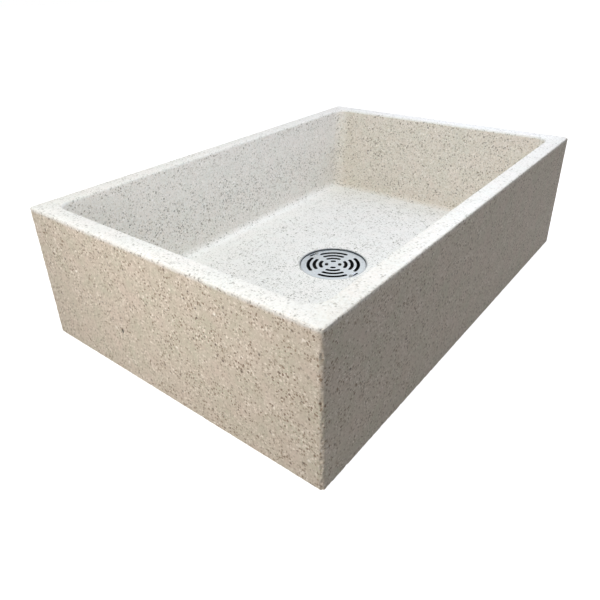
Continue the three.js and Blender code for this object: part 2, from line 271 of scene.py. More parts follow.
# Stainless plate as sheared and pickled: a flat grey metal with no polish.
pickled_stainless, tree = new_material("pickled_stainless")
place = add_node(tree, "ShaderNodeTexCoord", {})
mottle = add_node(
    tree, "ShaderNodeTexNoise",
    {"Vector": place.outputs["Object"], "Scale": 1 / pickle_mottle_size, "Detail": 3},
)
tone = add_node(
    tree, "ShaderNodeMix", {0: mottle.outputs["Fac"], 6: linear("#8f9396"), 7: linear("#b3b7b9")},
    data_type="RGBA",
)
metal = add_node(
    tree, "ShaderNodeBsdfPrincipled",
    {"Base Color": tone.outputs[2], "Metallic": 1, "Roughness": 0.5},
)
add_node(tree, "ShaderNodeOutputMaterial", {"Surface": metal.outputs["BSDF"]})

for name in ["screw_lug_1", "screw_lug_2"] + [f"anchor_{i}" for i in range(1, 5)]:
    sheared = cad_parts[name]
    sheared.data.materials.clear()
    sheared.data.materials.append(pickled_stainless)
    bevel = sheared.modifiers.new("edge_break", "BEVEL")
    bevel.width = plate_edge_break
    bevel.segments = 2
    bevel.angle_limit = sheared_edge_angle


# ---------------------------------------------------------------- pipe gasket
# A ring of black moulded rubber sits in the collar. The pipe comes up through it from the
# floor below, and three soft ribs press on the pipe and keep the joint watertight.

gasket_low, gasket_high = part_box("pipe_gasket")
gasket_radius = gasket_high.x
gasket_wall = 7.7 * mm
gasket_bore_radius = gasket_radius - gasket_wall
gasket_edge_radius = 1 * mm
rib_height = 3.2 * mm
rib_count = 3
bloom_size = 11.1 * mm
rib_pitch = (gasket_high.z - gasket_low.z) / rib_count

# Moulded EPDM rubber: near black and matt, with a dusty grey bloom in patches.
moulded_rubber, tree = new_material("moulded_rubber")
place = add_node(tree, "ShaderNodeTexCoord", {})
bloom = add_node(
    tree, "ShaderNodeTexNoise",
    {"Vector": place.outputs["Object"], "Scale": 1 / bloom_size, "Detail": 4},
)
tone = add_node(
    tree, "ShaderNodeMix", {0: bloom.outputs["Fac"], 6: linear("#1b1b1c"), 7: linear("#343435")},
    data_type="RGBA",
)
rubber = add_node(
    tree, "ShaderNodeBsdfPrincipled", {"Base Color": tone.outputs[2], "Roughness": 0.75},
)
add_node(tree, "ShaderNodeOutputMaterial", {"Surface": rubber.outputs["BSDF"]})

gasket_profile = [
    (gasket_bore_radius, gasket_low.z),
    (gasket_radius, gasket_low.z),
    (gasket_radius, gasket_high.z),
    (gasket_bore_radius, gasket_high.z),
]
for rib in range(rib_count):
    rib_top = gasket_high.z - rib * rib_pitch
    gasket_profile.append((gasket_bore_radius - rib_height, rib_top - rib_pitch / 2))
    if rib < rib_count - 1:
        gasket_profile.append((gasket_bore_radius, rib_top - rib_pitch))
new_piece(
    "ribbed_pipe_gasket", turned("ribbed_pipe_gasket", gasket_profile, gasket_edge_radius),
    moulded_rubber, "basin", "pipe_gasket",
)


# ---------------------------------------------------------------- reinforcing wires
# Eight U-shaped wires and two hoops are set in the mould before the terrazzo goes in. They
# are galvanised steel wire, bent cold, and nothing of them shows on a finished basin.

spangle_size = 3 * mm

# Galvanised wire: dull zinc, lighter and darker where its spangle turns.
galvanised_wire, tree = new_material("galvanised_wire")
place = add_node(tree, "ShaderNodeTexCoord", {})
spangle = add_node(
    tree, "ShaderNodeTexVoronoi", {"Vector": place.outputs["Object"], "Scale": 1 / spangle_size},
)
turn = add_node(tree, "ShaderNodeSeparateColor", {0: spangle.outputs["Color"]})
tone = add_node(
    tree, "ShaderNodeMix", {0: turn.outputs[0], 6: linear("#84898b"), 7: linear("#a9adaf")},
    data_type="RGBA",
)
metal = add_node(
    tree, "ShaderNodeBsdfPrincipled",
    {"Base Color": tone.outputs[2], "Metallic": 1, "Roughness": 0.55},
)
add_node(tree, "ShaderNodeOutputMaterial", {"Surface": metal.outputs["BSDF"]})

wire_names = [f"{kind}_wire_{i}" for kind in ("long", "cross") for i in range(1, 5)]
for name in wire_names + ["wall_hoop_lower", "wall_hoop_upper"]:
    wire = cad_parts[name]
    wire.data.materials.clear()
    wire.data.materials.append(galvanised_wire)
    wire.data.shade_smooth()


# ---------------------------------------------------------------- basin
# The basin is one casting of terrazzo: marble chips in white cement, poured round the drain
# and the wires in a steel mould. The rim, the floor and the inside are ground and sealed, and
# the outside stays as it left the mould, browner and duller, with small knocks on its edges.

half_width, half_length, basin_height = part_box("basin")[1]
rim_width = 31.75 * mm
rim_outer_edge_radius = 2 * mm
rim_inner_edge_radius = 3 * mm
outer_corner_radius = 6 * mm
foot_chamfer = 2 * mm
well_half_width = half_width - rim_width
well_half_length = half_length - rim_width
well_corner_radius = 28 * mm
side_wall_draft = 5 * mm
end_wall_draft = 24 * mm
cove_radius = 18 * mm
floor_corner_radius = 16 * mm
floor_at_walls = 46 * mm
floor_at_drain = flange_high.z
drain_land_margin = 8 * mm
drain_land_half = flange_radius + drain_land_margin
drain_land_corner = 40 * mm
fit_gap = 0.3 * mm

corner_steps = 10
edge_steps = 6
cove_steps = 8
floor_steps = 10
underside_steps = 4
well_wall_steps = 6
rim_grinding_ends = 1 / 72  # of the way down the well's walls
wall_step = 3 * mm
side_step = 4.4 * mm
width_steps = round(2 * half_width / side_step)
length_steps = round(2 * half_length / side_step)

# How far each surface is ground: 0 is the bare mould film and 1 is clean white terrazzo. Down
# the cove, the side walls reach the floor's grinding at one share of the way, and the end
# walls only start towards it at another.
film_ground = 0
# The band at the top of the outside is painted paler, a painted highlight.
rubbed_side_ground = 0.3
rubbed_end_ground = 0.7
rim_side_ground = 0.78
rim_end_ground = 0.88
side_wall_ground = 0.63
end_wall_ground = 0.35
floor_ground = 1
rubbed_band = 6 * mm
side_cove_ground_by = 0.6
end_cove_ground_from = 0.4

# Where cement fills and hides the chips: all over the rim, and along the foot of the side
# walls, from one share of the cove to another and over the first steps of the floor. There the
# paler band is also a painted highlight along the cove.
rim_grouted = (1, 1)
cove_grout_from = 0.5
cove_grout_full = 0.625
floor_grout_steps = 4

# How exposed the edges are to knocks, all along them and at the casting's upright corners.
corners_knocked = (0, 1)
foot_knocked = (0.2, 1)
rim_outer_edge_knocks = 0.5
rim_inner_edge_knocks = 0.4
wear_depth = 1 * mm
wear_spacing = 12 * mm
knock_depth = 5 * mm
knock_threshold = 0.1
knock_spacing = 5 * mm

# An open air bubble in the front face, painted dark as a painted shade for its hole.
bubble_place = (-89.7 * mm, -half_length, 87.6 * mm)
bubble_width = 4 * mm
bubble_height = 8.5 * mm
bubble_softness = 0.15


def outline(half_x, half_y, radius, height):
    """A level rectangle with rounded corners, as points that run anticlockwise."""
    arcs = []
    for corner, (sign_x, sign_y) in enumerate([(1, 1), (-1, 1), (-1, -1), (1, -1)]):
        arc = []
        for step in range(corner_steps + 1):
            angle = (corner + step / corner_steps) * math.pi / 2
            x = sign_x * (half_x - radius) + radius * math.cos(angle)
            y = sign_y * (half_y - radius) + radius * math.sin(angle)
            arc.append(Vector((x, y, height)))
        arcs.append(arc)
    points = []
    for corner, arc in enumerate(arcs):
        points += arc
        steps = length_steps if corner % 2 else width_steps
        after = arcs[(corner + 1) % 4][0]
        points += [arc[-1].lerp(after, step / steps) for step in range(1, steps)]
    return points


def round_hole(radius, height):
    """The outline round the drain drawn on to a circle, point for point."""
    points = []
    for land in outline(drain_land_half, drain_land_half, drain_land_corner, height):
        angle = math.atan2(land.y, land.x)
        points.append(Vector((radius * math.cos(angle), radius * math.sin(angle), height)))
    return points


def between(start, end, steps):
    """The outlines that lead from one to another, the last one included."""
    return [
        [a.lerp(b, step / steps) for a, b in zip(start, end)] for step in range(1, steps + 1)
    ]


# How exposed each point of an outline is to knocks, most in the middle of a corner, and how
# far it lies on an end wall rather than on a side wall.
corner_exposure = []
end_wall_share = []
for corner, steps in enumerate((width_steps, length_steps, width_steps, length_steps)):
    round_corner = [i / corner_steps for i in range(corner_steps + 1)]
    to_end_wall = corner % 2 == 0
    corner_exposure += [math.sin(math.pi * turn) for turn in round_corner]
    corner_exposure += [0] * (steps - 1)
    end_wall_share += round_corner if to_end_wall else round_corner[::-1]
    end_wall_share += [1 if to_end_wall else 0] * (steps - 1)

casting_rings = []
exposure = []
grinding = []
grouting = []


def mixed(start, end, share):
    """The value that lies a share of the way from one to another."""
    return start + (end - start) * share


def add_ring(points, side_ground, end_ground, exposed=(0, 0), grouted=(0, 0)):
    """A ring of the skin: how far it is ground and grouted on the side and the end walls, the
    grout along the cove also being a painted highlight, and how exposed it is to knocks all
    round and at the corners."""
    edge_exposure, at_corners = exposed
    casting_rings.append(points)
    exposure.extend(max(edge_exposure, at_corners * corner) for corner in corner_exposure)
    grinding.extend(mixed(side_ground, end_ground, share) for share in end_wall_share)
    grouting.extend(mixed(*grouted, share) for share in end_wall_share)


# The underside, from the collar's hole to the chamfer at the foot.
drain_land = outline(drain_land_half, drain_land_half, drain_land_corner, 0)
foot = outline(half_width - foot_chamfer, half_length - foot_chamfer, outer_corner_radius, 0)
add_ring(round_hole(collar_radius + fit_gap, 0), film_ground, film_ground)
add_ring(drain_land, film_ground, film_ground)
for ring in between(drain_land, foot, underside_steps):
    add_ring(ring, film_ground, film_ground, corners_knocked)

# The outside, up to the rounded outer edge of the rim, and then the rim's inner edge.
wall_foot = outline(half_width, half_length, outer_corner_radius, foot_chamfer)
wall_top_height = basin_height - rim_outer_edge_radius
wall_top = outline(half_width, half_length, outer_corner_radius, wall_top_height)
add_ring(wall_foot, film_ground, film_ground, foot_knocked)
# The band under the rim is painted paler, a painted highlight of the rim edge's sheen.
for ring in between(wall_foot, wall_top, round((wall_top_height - foot_chamfer) / wall_step)):
    rubbed = max(0, 1 - (wall_top_height - ring[0].z) / rubbed_band)
    add_ring(ring, rubbed * rubbed_side_ground, rubbed * rubbed_end_ground, corners_knocked)
for step in range(1, edge_steps + 1):
    rounded = step / edge_steps
    angle = rounded * math.pi / 2
    inset = rim_outer_edge_radius * (1 - math.cos(angle))
    height = basin_height - rim_outer_edge_radius * (1 - math.sin(angle))
    ring = outline(half_width - inset, half_length - inset, outer_corner_radius, height)
    side = mixed(rubbed_side_ground, rim_side_ground, rounded)
    end = mixed(rubbed_end_ground, rim_end_ground, rounded)
    knocks = rim_outer_edge_knocks * math.sin(2 * angle)
    add_ring(ring, side, end, (knocks, 1), (rounded, rounded))
for step in range(edge_steps, -1, -1):
    angle = step / edge_steps * math.pi / 2
    flare = rim_inner_edge_radius * (1 - math.cos(angle))
    height = basin_height - rim_inner_edge_radius * (1 - math.sin(angle))
    corner = well_corner_radius + flare
    ring = outline(well_half_width + flare, well_half_length + flare, corner, height)
    knocks = rim_inner_edge_knocks * math.sin(2 * angle)
    add_ring(ring, rim_side_ground, rim_end_ground, (knocks, 0), rim_grouted)

# The walls of the well lean outwards, and a cove joins them to the floor.
foot_half_width = well_half_width - side_wall_draft
foot_half_length = well_half_length - end_wall_draft
cove_top = outline(
    foot_half_width, foot_half_length, well_corner_radius, floor_at_walls + cove_radius,
)
well_top = casting_rings[-1]
just_below = [a.lerp(b, rim_grinding_ends) for a, b in zip(well_top, cove_top)]
for ring in [just_below] + between(just_below, cove_top, well_wall_steps):
    add_ring(ring, side_wall_ground, end_wall_ground)
for step in range(1, cove_steps + 1):
    down = step / cove_steps
    angle = down * math.pi / 2
    inset = cove_radius * (1 - math.cos(angle))
    height = floor_at_walls + cove_radius * (1 - math.sin(angle))
    corner = mixed(well_corner_radius, floor_corner_radius, inset / cove_radius)
    ring = outline(foot_half_width - inset, foot_half_length - inset, corner, height)
    at_side = min(1, down / side_cove_ground_by)
    at_end = max(0, down - end_cove_ground_from) / (1 - end_cove_ground_from)
    side = mixed(side_wall_ground, floor_ground, at_side)
    end = mixed(end_wall_ground, floor_ground, at_end)
    # Near the cove's foot the grout makes a paler line, a painted highlight.
    filled = (down - cove_grout_from) / (cove_grout_full - cove_grout_from)
    add_ring(ring, side, end, grouted=(min(1, max(0, filled)), 0))

# The floor falls to the drain, and the hole follows the flange, the cone and the collar.
drain_edge = outline(drain_land_half, drain_land_half, drain_land_corner, floor_at_drain)
for step, ring in enumerate(between(casting_rings[-1], drain_edge, floor_steps), start=1):
    # The painted highlight fades out over the first steps of the floor.
    filled = max(0, 1 - step / floor_grout_steps)
    add_ring(ring, floor_ground, floor_ground, grouted=(filled, 0))
flange_hole = flange_radius + fit_gap
cup_hole = cup_mouth_radius + fit_gap
add_ring(round_hole(flange_hole, floor_at_drain), floor_ground, floor_ground)
for radius, height in [
    (flange_hole, flange_low.z - fit_gap),
    (cup_hole, flange_low.z - fit_gap),
    (cup_hole, cup_high.z - cup_straight),
    (collar_radius + fit_gap, collar_top),
]:
    add_ring(round_hole(radius, height), film_ground, film_ground)

casting = skin("precast_terrazzo_basin", casting_rings)
knocked = []
for vertex, exposed in zip(casting.vertices, exposure):
    worn = max(0, noise.noise(vertex.co / wear_spacing)) * wear_depth
    knock = max(0, noise.noise(vertex.co / knock_spacing) - knock_threshold) * knock_depth
    knocked.append(vertex.co - vertex.normal * (worn + knock) * exposed)
casting.vertices.foreach_set("co", [axis for point in knocked for axis in point])
casting.update()
casting.attributes.new("grinding", "FLOAT", "POINT").data.foreach_set("value", grinding)
casting.attributes.new("grouting", "FLOAT", "POINT").data.foreach_set("value", grouting)

# Precast terrazzo: white cement full of crushed marble. Where it is ground the cut chips and
# the sealed cement read as a speckled near-white with a soft gloss. Where it is left from the
# mould a film of brown cement dulls it. The finest grit is drawn at 2.6 mm, as fine as shows.
chip_raggedness = 4 * mm
colour_patch_size = 45 * mm
cement_skin_size = 28 * mm
surface_grain_size = 5 * mm
surface_grain_depth = 0.8 * mm
terrazzo, tree = new_material("precast_terrazzo")
place = add_node(tree, "ShaderNodeTexCoord", {})
level = add_node(tree, "ShaderNodeAttribute", {}, attribute_name="grinding")
grout = add_node(tree, "ShaderNodeAttribute", {}, attribute_name="grouting")

# A noise moves the place at which the chips are looked up, so their outlines are broken.
jitter = add_node(
    tree, "ShaderNodeTexNoise",
    {"Vector": place.outputs["Object"], "Scale": 1 / chip_raggedness, "Detail": 2},
)
shove = add_node(
    tree, "ShaderNodeVectorMath", {0: jitter.outputs["Color"], "Scale": chip_raggedness},
    operation="SCALE",
)
broken = add_node(
    tree, "ShaderNodeVectorMath", {0: place.outputs["Object"], 1: shove.outputs[0]},
    operation="ADD",
)

# Where the film is half ground away it is left in flecks.
whole_film = add_node(
    tree, "ShaderNodeMath", {0: 1.0, 1: level.outputs["Fac"]}, operation="SUBTRACT",
)
half_ground = add_node(
    tree, "ShaderNodeMath", {0: level.outputs["Fac"], 1: whole_film.outputs[0]},
    operation="MULTIPLY",
)
fleck = add_node(
    tree, "ShaderNodeMapRange",
    {"Value": jitter.outputs["Fac"], "From Min": 0.3, "From Max": 0.7, "To Min": -0.6,
     "To Max": 0.6},
)
ground = add_node(
    tree, "ShaderNodeMath",
    {0: half_ground.outputs[0], 1: fleck.outputs["Result"], 2: level.outputs["Fac"]},
    operation="MULTIPLY_ADD", use_clamp=True,
)
ground_share = ground.outputs[0]

# The film and the white cement both change colour a little from patch to patch.
patches = add_node(
    tree, "ShaderNodeTexNoise",
    {"Vector": place.outputs["Object"], "Scale": 1 / colour_patch_size, "Detail": 3,
     "Roughness": 0.6},
)
patch = add_node(
    tree, "ShaderNodeMapRange",
    {"Value": patches.outputs["Fac"], "From Min": 0.35, "From Max": 0.65},
)
mould_film = add_node(
    tree, "ShaderNodeMix",
    {0: patch.outputs["Result"], 6: linear("#c9c2ad"), 7: linear("#d4c5b4")}, data_type="RGBA",
)
white_cement = add_node(
    tree, "ShaderNodeMix",
    {0: patch.outputs["Result"], 6: linear("#f6f9f7"), 7: linear("#f9f9f7")}, data_type="RGBA",
)
cement = add_node(
    tree, "ShaderNodeMix",
    {0: ground_share, 6: mould_film.outputs[2], 7: white_cement.outputs[2]},
    data_type="RGBA",
)

# A skin of cement hides the chips in places, and half hides them wherever it is grouted.
# Along the cove this grouting is also a painted highlight.
smear = add_node(
    tree, "ShaderNodeTexNoise",
    {"Vector": place.outputs["Object"], "Scale": 1 / cement_skin_size, "Detail": 2},
)
laid_bare = add_node(
    tree, "ShaderNodeMapRange",
    {"Value": smear.outputs["Fac"], "From Min": 0.35, "From Max": 0.55, "To Min": 0.45,
     "To Max": 1},
)
see_through = add_node(
    tree, "ShaderNodeMapRange", {"Value": grout.outputs["Fac"], "To Min": 1.0, "To Max": 0.55},
)
chips_shown = add_node(
    tree, "ShaderNodeMath", {0: laid_bare.outputs["Result"], 1: see_through.outputs["Result"]},
    operation="MULTIPLY",
)

# Each kind of chip: its spacing, the share of its places that hold a chip, its largest size
# against the spacing, and its darkest and palest colour under the film and where it is ground.
chip_kinds = [
    (2.6 * mm, 1.00, 0.75, "#ad9d87", "#efe5d6", "#cccec9", "#ffffff"),
    (4.2 * mm, 0.46, 0.56, "#826e5a", "#a5937d", "#8c8e88", "#b9bab5"),
    (5.0 * mm, 0.26, 0.48, "#e2d7c6", "#f3eadc", "#f6f5f1", "#ffffff"),
    (11.0 * mm, 0.16, 0.30, "#57493d", "#7a6857", "#6e6d68", "#8e8c87"),
    (15.0 * mm, 0.16, 0.26, "#e9e0d0", "#fbf5ea", "#ffffff", "#ffffff"),
]
chip_softness = 0.14
smallest_share = 0.5
colour = cement.outputs[2]
for spacing, share, size, film_dark, film_pale, ground_dark, ground_pale in chip_kinds:
    grit = add_node(
        tree, "ShaderNodeTexVoronoi", {"Vector": broken.outputs[0], "Scale": 1 / spacing},
    )
    chance = add_node(tree, "ShaderNodeSeparateColor", {0: grit.outputs["Color"]})
    picked = add_node(
        tree, "ShaderNodeMath", {0: chance.outputs[0], 1: share}, operation="LESS_THAN",
    )
    reach = add_node(
        tree, "ShaderNodeMapRange",
        {"Value": chance.outputs[1], "To Min": size * smallest_share, "To Max": size},
    )
    inside = add_node(
        tree, "ShaderNodeMath", {0: reach.outputs["Result"], 1: grit.outputs["Distance"]},
        operation="SUBTRACT",
    )
    sharp = add_node(
        tree, "ShaderNodeMapRange", {"Value": inside.outputs[0], "From Max": chip_softness},
    )
    whole = add_node(
        tree, "ShaderNodeMath", {0: sharp.outputs["Result"], 1: picked.outputs[0]},
        operation="MULTIPLY",
    )
    mask = add_node(
        tree, "ShaderNodeMath", {0: whole.outputs[0], 1: chips_shown.outputs[0]},
        operation="MULTIPLY",
    )
    dark = add_node(
        tree, "ShaderNodeMix",
        {0: ground_share, 6: linear(film_dark), 7: linear(ground_dark)}, data_type="RGBA",
    )
    pale = add_node(
        tree, "ShaderNodeMix",
        {0: ground_share, 6: linear(film_pale), 7: linear(ground_pale)}, data_type="RGBA",
    )
    chip = add_node(
        tree, "ShaderNodeMix", {0: chance.outputs[2], 6: dark.outputs[2], 7: pale.outputs[2]},
        data_type="RGBA",
    )
    layered = add_node(
        tree, "ShaderNodeMix", {0: mask.outputs[0], 6: colour, 7: chip.outputs[2]},
        data_type="RGBA",
    )
    colour = layered.outputs[2]

# One open air bubble in the front face is painted as a dark spot, a painted shade for
# the hole.
from_bubble = add_node(
    tree, "ShaderNodeVectorMath", {0: place.outputs["Object"], 1: bubble_place},
    operation="SUBTRACT",
)
in_bubble = add_node(
    tree, "ShaderNodeVectorMath",
    {0: from_bubble.outputs[0], 1: (2 / bubble_width, 2 / bubble_height, 2 / bubble_height)},
    operation="MULTIPLY",
)
bubble_reach = add_node(
    tree, "ShaderNodeVectorMath", {0: in_bubble.outputs[0]}, operation="LENGTH",
)
bubble_shade = add_node(
    tree, "ShaderNodeMapRange",
    {"Value": bubble_reach.outputs["Value"], "From Min": 1 - bubble_softness,
     "From Max": 1 + bubble_softness, "To Min": 1.0, "To Max": 0.0},
)
pitted = add_node(
    tree, "ShaderNodeMix", {0: bubble_shade.outputs["Result"], 6: colour, 7: linear("#16120e")},
    data_type="RGBA",
)
colour = pitted.outputs[2]

# The ground stone is glossier and smoother than the film.
gloss = add_node(
    tree, "ShaderNodeMapRange", {"Value": ground_share, "To Min": 0.62, "To Max": 0.42},
)
grain = add_node(
    tree, "ShaderNodeTexNoise",
    {"Vector": place.outputs["Object"], "Scale": 1 / surface_grain_size, "Detail": 5,
     "Roughness": 0.7},
)
tooth = add_node(
    tree, "ShaderNodeMapRange", {"Value": ground_share, "To Min": 0.6, "To Max": 0.06},
)
surface = add_node(
    tree, "ShaderNodeBump",
    {"Height": grain.outputs["Fac"], "Strength": tooth.outputs["Result"],
     "Distance": surface_grain_depth},
)
stone = add_node(
    tree, "ShaderNodeBsdfPrincipled",
    {"Base Color": colour, "Roughness": gloss.outputs["Result"], "Specular IOR Level": 0.35,
     "Normal": surface.outputs["Normal"]},
)
add_node(tree, "ShaderNodeOutputMaterial", {"Surface": stone.outputs["BSDF"]})
new_piece("precast_terrazzo_basin", casting, terrazzo, "basin", "basin")


# ---------------------------------------------------------------- strainer
# The strainer is a flat round plate of 1.2 mm stainless, with four rings of four curved slots
# and two curved slots for its screws. It is punched from satin sheet and drops into the seat.

strainer_low, strainer_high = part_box("strainer")
strainer_radius = strainer_high.x
strainer_thickness = strainer_high.z - strainer_low.z
strainer_edge = 0.2 * mm
bridge_count = 4
bridge_angle = math.radians(-11.7)
bridge_span = math.radians(21.5)
inner_bridge_span = math.radians(42)
slot_width = 7.2 * mm
slot_ring_pitch = 13 * mm
first_slot_ring_radius = 14 * mm
slot_ring_count = 4
screw_slot_radius = 62.2 * mm
screw_slot_width = 4.6 * mm
screw_slot_span = math.radians(20.5)
slot_arc_steps = 24
slot_end_steps = 8
level_normal = 0.5  # a face whose normal rises less than this is a punched edge


def arc(centre_x, centre_y, radius, start, end, steps):
    """Points along an arc, without its last one."""
    angles = [start + (end - start) * step / steps for step in range(steps)]
    return [(centre_x + radius * math.cos(a), centre_y + radius * math.sin(a)) for a in angles]


def curved_slot(radius, width, middle, span):
    """The outline of a slot that follows a circle round the plate's centre."""
    half_turn = math.pi
    reach = span / 2 - width / 2 / radius
    start, end = middle - reach, middle + reach
    far = (radius * math.cos(end), radius * math.sin(end))
    near = (radius * math.cos(start), radius * math.sin(start))
    points = arc(0, 0, radius + width / 2, start, end, slot_arc_steps)
    points += arc(*far, width / 2, end, end + half_turn, slot_end_steps)
    points += arc(0, 0, radius - width / 2, end, start, slot_arc_steps)
    points += arc(*near, width / 2, start + half_turn, start + 2 * half_turn, slot_end_steps)
    return points


plate_outlines = [arc(0, 0, strainer_radius, 0, 2 * math.pi, spun_segments)]
slot_step = 2 * math.pi / bridge_count
for ring in range(slot_ring_count):
    ring_radius = first_slot_ring_radius + ring * slot_ring_pitch
    span = slot_step - (bridge_span if ring else inner_bridge_span)
    for i in range(bridge_count):
        middle = bridge_angle + slot_step * (i + 0.5)
        plate_outlines.append(curved_slot(ring_radius, slot_width, middle, span))
for middle in (bridge_angle, bridge_angle + math.pi):
    outline_points = curved_slot(screw_slot_radius, screw_slot_width, middle, screw_slot_span)
    plate_outlines.append(outline_points)

blank = bpy.data.curves.new("strainer_blank", "CURVE")
blank.dimensions = "2D"
blank.fill_mode = "BOTH"
blank.extrude = strainer_thickness / 2 - strainer_edge
blank.bevel_depth = strainer_edge
blank.bevel_resolution = 1
blank.offset = -strainer_edge
for points in plate_outlines:
    spline = blank.splines.new("POLY")
    spline.points.add(len(points) - 1)
    for vertex, (x, y) in zip(spline.points, points):
        vertex.co = (x, y, 0, 1)
    spline.use_cyclic_u = True
punched = bpy.data.objects.new("strainer_blank", blank)
bpy.context.scene.collection.objects.link(punched)
graph = bpy.context.evaluated_depsgraph_get()
plate = bpy.data.meshes.new_from_object(punched.evaluated_get(graph))
bpy.data.objects.remove(punched)
plate.materials.clear()
for vertex in plate.vertices:
    vertex.co.z += (strainer_low.z + strainer_high.z) / 2
# The punched edges are marked for their painted shade.
cut_edges = [1.0 if abs(face.normal.z) < level_normal else 0.0 for face in plate.polygons]
plate.attributes.new("cut_edge", "FLOAT", "FACE").data.foreach_set("value", cut_edges)

# Stainless sheet with a satin finish: cool pale grey, with a fine straight grain that spreads
# the light and a few duller smears where water has dried. The punched edges are painted dark,
# a painted shade for the insides of the slots.
# The grain is drawn at 0.5 mm, coarser than it is, so that it shows.
grain_spacing = 0.5 * mm
grain_length = 40 * mm
grain_depth = 0.02 * mm
water_smear_size = 22.2 * mm
satin_stainless, tree = new_material("satin_stainless")
place = add_node(tree, "ShaderNodeTexCoord", {})
along = add_node(
    tree, "ShaderNodeVectorMath",
    {0: place.outputs["Object"], 1: (1 / grain_length, 1 / grain_spacing, 1 / grain_spacing)},
    operation="MULTIPLY",
)
grain = add_node(tree, "ShaderNodeTexNoise", {"Vector": along.outputs[0], "Scale": 1, "Detail": 2})
smears = add_node(
    tree, "ShaderNodeTexNoise",
    {"Vector": place.outputs["Object"], "Scale": 1 / water_smear_size, "Detail": 3},
)
sheen = add_node(
    tree, "ShaderNodeMapRange",
    {"Value": smears.outputs["Fac"], "From Min": 0.35, "From Max": 0.7, "To Min": 0.22,
     "To Max": 0.4},
)
scratches = add_node(
    tree, "ShaderNodeBump",
    {"Height": grain.outputs["Fac"], "Strength": 0.35, "Distance": grain_depth},
)
tone = add_node(
    tree, "ShaderNodeMix", {0: smears.outputs["Fac"], 6: linear("#dfe6ec"), 7: linear("#cdd5dc")},
    data_type="RGBA",
)
edge = add_node(tree, "ShaderNodeAttribute", {}, attribute_name="cut_edge")
edged = add_node(
    tree, "ShaderNodeMix", {0: edge.outputs["Fac"], 6: tone.outputs[2], 7: linear("#4b4e50")},
    data_type="RGBA",
)
metal = add_node(
    tree, "ShaderNodeBsdfPrincipled",
    {"Base Color": edged.outputs[2], "Metallic": 1, "Roughness": sheen.outputs["Result"],
     "Normal": scratches.outputs["Normal"]},
)
add_node(tree, "ShaderNodeOutputMaterial", {"Surface": metal.outputs["BSDF"]})
new_piece("satin_strainer_plate", plate, satin_stainless, "strainer", "strainer")


# ---------------------------------------------------------------- strainer screws
# Two small stainless screws hold the strainer down, one at the end of each curved slot. Each
# has a low domed head with a straight slot for the driver. They are cold headed, rolled and
# pickled, so they are greyer than the plate.

screw_head_height = 2.2 * mm
screw_head_edge = 0.8 * mm
screw_head_radius = 4 * mm
screw_shank_radius = 2 * mm
drive_width = 1.2 * mm
drive_depth = 1.1 * mm
dome_steps = 6
screw_edge_radius = 0.15 * mm
axis_gap = 0.01 * mm  # the turned outline stays this far off the axis, too little to see
screw_segments = 48

for i in (1, 2):
    low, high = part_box(f"strainer_screw_{i}")
    centre = (low + high) / 2
    under_head = high.z - screw_head_height
    profile = [
        (axis_gap, low.z),
        (screw_shank_radius, low.z),
        (screw_shank_radius, under_head),
        (screw_head_radius, under_head),
    ]
    for step in range(dome_steps + 1):
        angle = step / dome_steps * math.pi / 2
        dome = (screw_head_height - screw_head_edge) * math.sin(angle)
        reach = max(axis_gap, screw_head_radius * math.cos(angle))
        profile.append((reach, under_head + screw_head_edge + dome))
    shape = turned(f"slotted_screw_{i}", profile, screw_edge_radius, screw_segments)
    blank = bpy.data.objects.new("screw_blank", shape)
    bpy.context.scene.collection.objects.link(blank)
    tool_mesh = bpy.data.meshes.new("drive_slot")
    tool_shape = bmesh.new()
    bmesh.ops.create_cube(tool_shape, size=1)
    for vertex in tool_shape.verts:
        vertex.co.x *= 4 * screw_head_radius
        vertex.co.y *= drive_width
        vertex.co.z = vertex.co.z * 2 * drive_depth + high.z
    tool_shape.to_mesh(tool_mesh)
    tool_shape.free()
    tool = bpy.data.objects.new("drive_slot", tool_mesh)
    bpy.context.scene.collection.objects.link(tool)
    cut = blank.modifiers.new("drive_slot", "BOOLEAN")
    cut.object = tool
    graph = bpy.context.evaluated_depsgraph_get()
    cut_screw = bpy.data.meshes.new_from_object(blank.evaluated_get(graph))
    bpy.data.objects.remove(blank)
    bpy.data.objects.remove(tool)
    turn = math.atan2(centre.y, centre.x)
    for vertex in cut_screw.vertices:
        x, y = vertex.co.x, vertex.co.y
        vertex.co.x = centre.x + x * math.cos(turn) - y * math.sin(turn)
        vertex.co.y = centre.y + x * math.sin(turn) + y * math.cos(turn)
    cut_screw.materials.clear()
    new_piece(
        f"slotted_screw_{i}", cut_screw, pickled_stainless, f"screw_{i}",
        f"strainer_screw_{i}",
    )


# ---------------------------------------------------------------- studio
# A plain pale floor that runs into a white background, a low lamp in front, a high softbox
# over the near end, a strip and a small softbox over the basin, two weak fills, and the camera
# where the photograph was taken.

